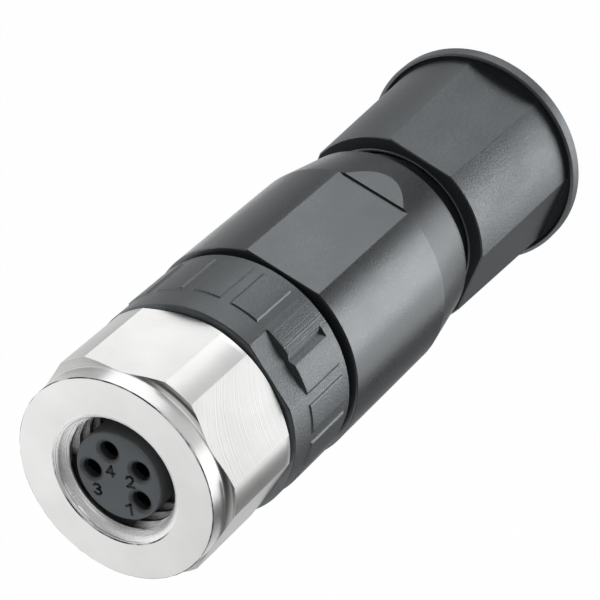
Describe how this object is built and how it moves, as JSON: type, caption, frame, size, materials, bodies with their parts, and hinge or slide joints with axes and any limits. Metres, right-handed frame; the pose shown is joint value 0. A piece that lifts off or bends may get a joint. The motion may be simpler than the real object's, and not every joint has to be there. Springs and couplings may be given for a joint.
{
  "type": "circular sensor connector",
  "caption": "Straight round cable socket with a screw coupling nut, numbered contact holes, padded grip, tapered housing with a marking flat, and a flanged clamp nut for the cable.",
  "frame": {"origin": "middle of the underside of the clamp nut's flange, on which the connector stands", "axes": "+Z along the axis towards the mating face, -Y towards the marking flat next to contacts 2 and 4"},
  "size_m": [0.0148, 0.0148, 0.0429],
  "materials": {
    "plated_metal": "satin plated, milled flats",
    "spring_steel": "bright",
    "seal_rubber": "matt",
    "insert_plastic": "matt",
    "contact_brass": "gold plated",
    "screw_steel": "plated",
    "grey_plastic": "fine matt texture",
    "pale_plastic": "matt"
  },
  "bodies": {
    "clamp": {"clamp_nut": "grey_plastic"},
    "gland": {"pinch_ring": "pale_plastic", "cable_seal": "seal_rubber"},
    "housing": {"rear_housing": "grey_plastic"},
    "joint_seal": {"housing_seal": "seal_rubber"},
    "front": {"grip_body": "grey_plastic", "socket_insert": "insert_plastic", "contact_1": "contact_brass", "contact_2": "contact_brass", "contact_3": "contact_brass", "contact_4": "contact_brass", "terminal_carrier": "insert_plastic", "terminal_screws": "screw_steel", "plug_seal": "seal_rubber", "nut_snap_ring": "spring_steel"},
    "nut": {"coupling_nut": "plated_metal"}
  },
  "joints": [
    {"name": "clamp_thread_travel", "type": "slide", "parent": "clamp", "child": "gland", "axis": [0, 0, 1], "range_m": [0, 0.004]},
    {"name": "clamp_thread_turn", "type": "hinge", "parent": "gland", "child": "housing", "pos_m": [0, 0, 0.01], "axis": [0, 0, 1], "range_deg": [0, 1450]},
    {"name": "housing_thread_travel", "type": "slide", "parent": "housing", "child": "joint_seal", "axis": [0, 0, 1], "range_m": [0, 0.00225]},
    {"name": "housing_thread_turn", "type": "hinge", "parent": "joint_seal", "child": "front", "pos_m": [0, 0, 0.027], "axis": [0, 0, 1], "range_deg": [0, 1090]},
    {"name": "coupling_nut_turn", "type": "hinge", "parent": "front", "child": "nut", "pos_m": [0, 0, 0.038], "axis": [0, 0, 1], "continuous": true}
  ],
  "couplings": [
    {"joint": "clamp_thread_turn", "follows": "clamp_thread_travel", "rad_per_m": 6283.2},
    {"joint": "housing_thread_turn", "follows": "housing_thread_travel", "rad_per_m": 8377.6}
  ]
}
